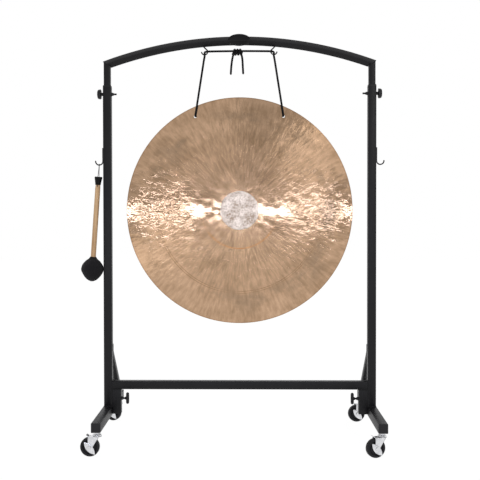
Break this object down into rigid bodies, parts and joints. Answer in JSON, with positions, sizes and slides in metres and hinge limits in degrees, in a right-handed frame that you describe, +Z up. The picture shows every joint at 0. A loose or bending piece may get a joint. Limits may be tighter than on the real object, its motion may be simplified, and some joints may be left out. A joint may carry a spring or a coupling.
{
  "type": "gong stand",
  "caption": "Height-adjustable rolling frame of square tube with an arched top, from which a round gong hangs on a cord, and a hooked mallet.",
  "frame": {"origin": "middle of the floor area that the stand covers, on the floor under the wheels", "axes": "+Z up, front towards -Y, +X to the right as seen from the front; the tall side of the frame lies in the XZ plane"},
  "size_m": [1.2932, 0.722, 1.719],
  "materials": {
    "powder_coat": "satin black powder coat on steel tube",
    "bush_plastic": "moulded black nylon",
    "cap_plastic": "moulded black polyethylene",
    "knob_plastic": "moulded black plastic over a steel screw",
    "hook_zinc": "dark plated steel wire",
    "badge_enamel": "gloss black enamel on sheet metal",
    "cord": "twisted black polypropylene cord",
    "gong_bronze": "hammered and lathed bronze",
    "grip_rubber": "moulded black rubber",
    "handle_wood": "turned beech, clear lacquer",
    "fleece": "black fleece over felt",
    "caster_zinc": "bright zinc plate on pressed steel",
    "wheel_rubber": "black rubber tyre on a black hub"
  },
  "bodies": {
    "frame": {"upright_left": "powder_coat", "upright_right": "powder_coat", "leg_bush_left": "bush_plastic", "leg_bush_right": "bush_plastic", "foot_left": "powder_coat", "foot_right": "powder_coat", "foot_cap_front_left": "cap_plastic", "foot_cap_rear_left": "cap_plastic", "foot_cap_front_right": "cap_plastic", "foot_cap_rear_right": "cap_plastic", "crossbar": "powder_coat", "crossbar_leg_left": "powder_coat", "crossbar_leg_right": "powder_coat", "brace_left": "powder_coat", "brace_right": "powder_coat", "crossbar_nut_left": "knob_plastic", "crossbar_nut_right": "knob_plastic", "height_nut_left": "knob_plastic", "height_nut_right": "knob_plastic", "mallet_hook_left": "hook_zinc", "mallet_hook_right": "hook_zinc", "caster_stem_front_left": "caster_zinc", "caster_stem_front_right": "caster_zinc", "caster_stem_rear_right": "caster_zinc", "caster_stem_rear_left": "caster_zinc"},
    "arch": {"arch_bar": "powder_coat", "arch_leg_left": "powder_coat", "arch_leg_right": "powder_coat", "badge": "badge_enamel", "gong_hook_left": "hook_zinc", "gong_hook_right": "hook_zinc", "hook_cord": "cord"},
    "left_height_knob": {"height_knob_left": "knob_plastic"},
    "right_height_knob": {"height_knob_right": "knob_plastic"},
    "left_crossbar_knob": {"crossbar_knob_left": "knob_plastic"},
    "right_crossbar_knob": {"crossbar_knob_right": "knob_plastic"},
    "hung_gong": {"gong": "gong_bronze", "gong_cord": "cord"},
    "loop": {"mallet_loop": "cord"},
    "mallet": {"mallet_grip": "grip_rubber", "mallet_handle": "handle_wood", "mallet_head": "fleece"},
    "fork_front_left": {"caster_fork_front_left": "caster_zinc", "caster_axle_front_left": "caster_zinc"},
    "fork_front_right": {"caster_fork_front_right": "caster_zinc", "caster_axle_front_right": "caster_zinc"},
    "fork_rear_right": {"caster_fork_rear_right": "caster_zinc", "caster_axle_rear_right": "caster_zinc"},
    "fork_rear_left": {"caster_fork_rear_left": "caster_zinc", "caster_axle_rear_left": "caster_zinc"},
    "wheel_front_left": {"caster_wheel_front_left": "wheel_rubber"},
    "wheel_front_right": {"caster_wheel_front_right": "wheel_rubber"},
    "wheel_rear_right": {"caster_wheel_rear_right": "wheel_rubber"},
    "wheel_rear_left": {"caster_wheel_rear_left": "wheel_rubber"},
    "pedal_front_left": {"caster_pedal_front_left": "caster_zinc"},
    "pedal_front_right": {"caster_pedal_front_right": "caster_zinc"},
    "pedal_rear_right": {"caster_pedal_rear_right": "caster_zinc"},
    "pedal_rear_left": {"caster_pedal_rear_left": "caster_zinc"}
  },
  "joints": [
    {"name": "arch_slide", "type": "slide", "parent": "frame", "child": "arch", "axis": [0, 0, 1], "range_m": [0, 0.2]},
    {"name": "left_height_knob_turn", "type": "hinge", "parent": "frame", "child": "left_height_knob", "pos_m": [-0.54821, -0.012, 1.468], "axis": [1, 0, 0], "continuous": true},
    {"name": "right_height_knob_turn", "type": "hinge", "parent": "frame", "child": "right_height_knob", "pos_m": [0.60979, -0.012, 1.468], "axis": [1, 0, 0], "continuous": true},
    {"name": "left_crossbar_knob_turn", "type": "hinge", "parent": "frame", "child": "left_crossbar_knob", "pos_m": [-0.47521, -0.012, 0.17], "axis": [1, 0, 0], "continuous": true},
    {"name": "right_crossbar_knob_turn", "type": "hinge", "parent": "frame", "child": "right_crossbar_knob", "pos_m": [0.53679, -0.012, 0.17], "axis": [1, 0, 0], "continuous": true},
    {"name": "gong_swing", "type": "hinge", "parent": "arch", "child": "hung_gong", "pos_m": [0.03079, -0.0044, 1.63335], "axis": [1, 0, 0], "range_deg": [-15, 15]},
    {"name": "mallet_lift", "type": "slide", "parent": "frame", "child": "loop", "axis": [0, 0, 1], "range_m": [0, 0.04]},
    {"name": "mallet_swing", "type": "hinge", "parent": "loop", "child": "mallet", "pos_m": [-0.56676, -0.012, 1.1675], "axis": [0, 1, 0], "range_deg": [0, 40]},
    {"name": "swivel_front_left", "type": "hinge", "parent": "frame", "child": "fork_front_left", "pos_m": [-0.53221, -0.325, 0.0807], "axis": [0, 0, 1], "continuous": true},
    {"name": "swivel_front_right", "type": "hinge", "parent": "frame", "child": "fork_front_right", "pos_m": [0.59379, -0.325, 0.0807], "axis": [0, 0, 1], "continuous": true},
    {"name": "swivel_rear_right", "type": "hinge", "parent": "frame", "child": "fork_rear_right", "pos_m": [0.59379, 0.325, 0.0807], "axis": [0, 0, 1], "continuous": true},
    {"name": "swivel_rear_left", "type": "hinge", "parent": "frame", "child": "fork_rear_left", "pos_m": [-0.53221, 0.325, 0.0807], "axis": [0, 0, 1], "continuous": true},
    {"name": "wheel_front_left_spin", "type": "hinge", "parent": "fork_front_left", "child": "wheel_front_left", "pos_m": [-0.5602, -0.32451, 0.0385], "axis": [-0.0175, -0.9998, 0], "continuous": true},
    {"name": "wheel_front_right_spin", "type": "hinge", "parent": "fork_front_right", "child": "wheel_front_right", "pos_m": [0.56675, -0.33225, 0.0385], "axis": [0.2588, -0.9659, 0], "continuous": true},
    {"name": "wheel_rear_right_spin", "type": "hinge", "parent": "fork_rear_right", "child": "wheel_rear_right", "pos_m": [0.5664, 0.31918, 0.0385], "axis": [0.2079, -0.9781, 0], "continuous": true},
    {"name": "wheel_rear_left_spin", "type": "hinge", "parent": "fork_rear_left", "child": "wheel_rear_left", "pos_m": [-0.55899, 0.33319, 0.0385], "axis": [-0.2924, -0.9563, 0], "continuous": true},
    {"name": "pedal_front_left_press", "type": "hinge", "parent": "fork_front_left", "child": "pedal_front_left", "pos_m": [-0.5602, -0.32451, 0.0797], "axis": [-0.0175, -0.9998, 0], "range_deg": [0, 6]},
    {"name": "pedal_front_right_press", "type": "hinge", "parent": "fork_front_right", "child": "pedal_front_right", "pos_m": [0.56675, -0.33225, 0.0797], "axis": [0.2588, -0.9659, 0], "range_deg": [0, 6]},
    {"name": "pedal_rear_right_press", "type": "hinge", "parent": "fork_rear_right", "child": "pedal_rear_right", "pos_m": [0.5664, 0.31918, 0.0797], "axis": [0.2079, -0.9781, 0], "range_deg": [0, 6]},
    {"name": "pedal_rear_left_press", "type": "hinge", "parent": "fork_rear_left", "child": "pedal_rear_left", "pos_m": [-0.55899, 0.33319, 0.0797], "axis": [-0.2924, -0.9563, 0], "range_deg": [0, 6]}
  ]
}
